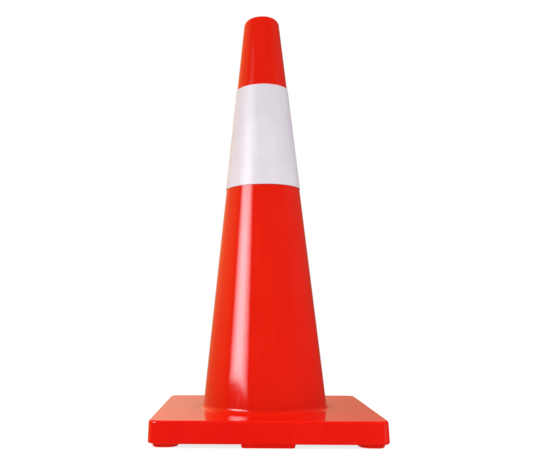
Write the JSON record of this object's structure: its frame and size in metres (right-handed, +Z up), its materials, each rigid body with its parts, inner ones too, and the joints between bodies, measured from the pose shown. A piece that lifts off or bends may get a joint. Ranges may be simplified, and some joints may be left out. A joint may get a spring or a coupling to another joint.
{
  "type": "traffic cone",
  "caption": "Tall glossy orange-red PVC road cone with a white reflective sleeve, standing through a square weighted base on moulded feet.",
  "frame": {"origin": "on the ground plane, under the middle of the square base", "axes": "+Z up along the cone's axis, -Y towards the front, +X to the right seen from the front; the sleeve's lap is at the rear, +Y"},
  "size_m": [0.3498, 0.3498, 0.711],
  "materials": {
    "body_pvc": "gloss",
    "base_pvc": "gloss",
    "ballast_pvc": "matte",
    "sleeve_pvc": "satin",
    "reflective_film": "gloss"
  },
  "bodies": {
    "cone": {"cone_body": "body_pvc", "base_plate": "base_pvc", "ballast_slab": "ballast_pvc"},
    "sleeve": {"sleeve_backing": "sleeve_pvc", "sleeve_film": "reflective_film"}
  },
  "joints": [
    {"name": "sleeve_lift", "type": "slide", "parent": "cone", "child": "sleeve", "axis": [0, 0, 1], "range_m": [0, 0.33]}
  ]
}
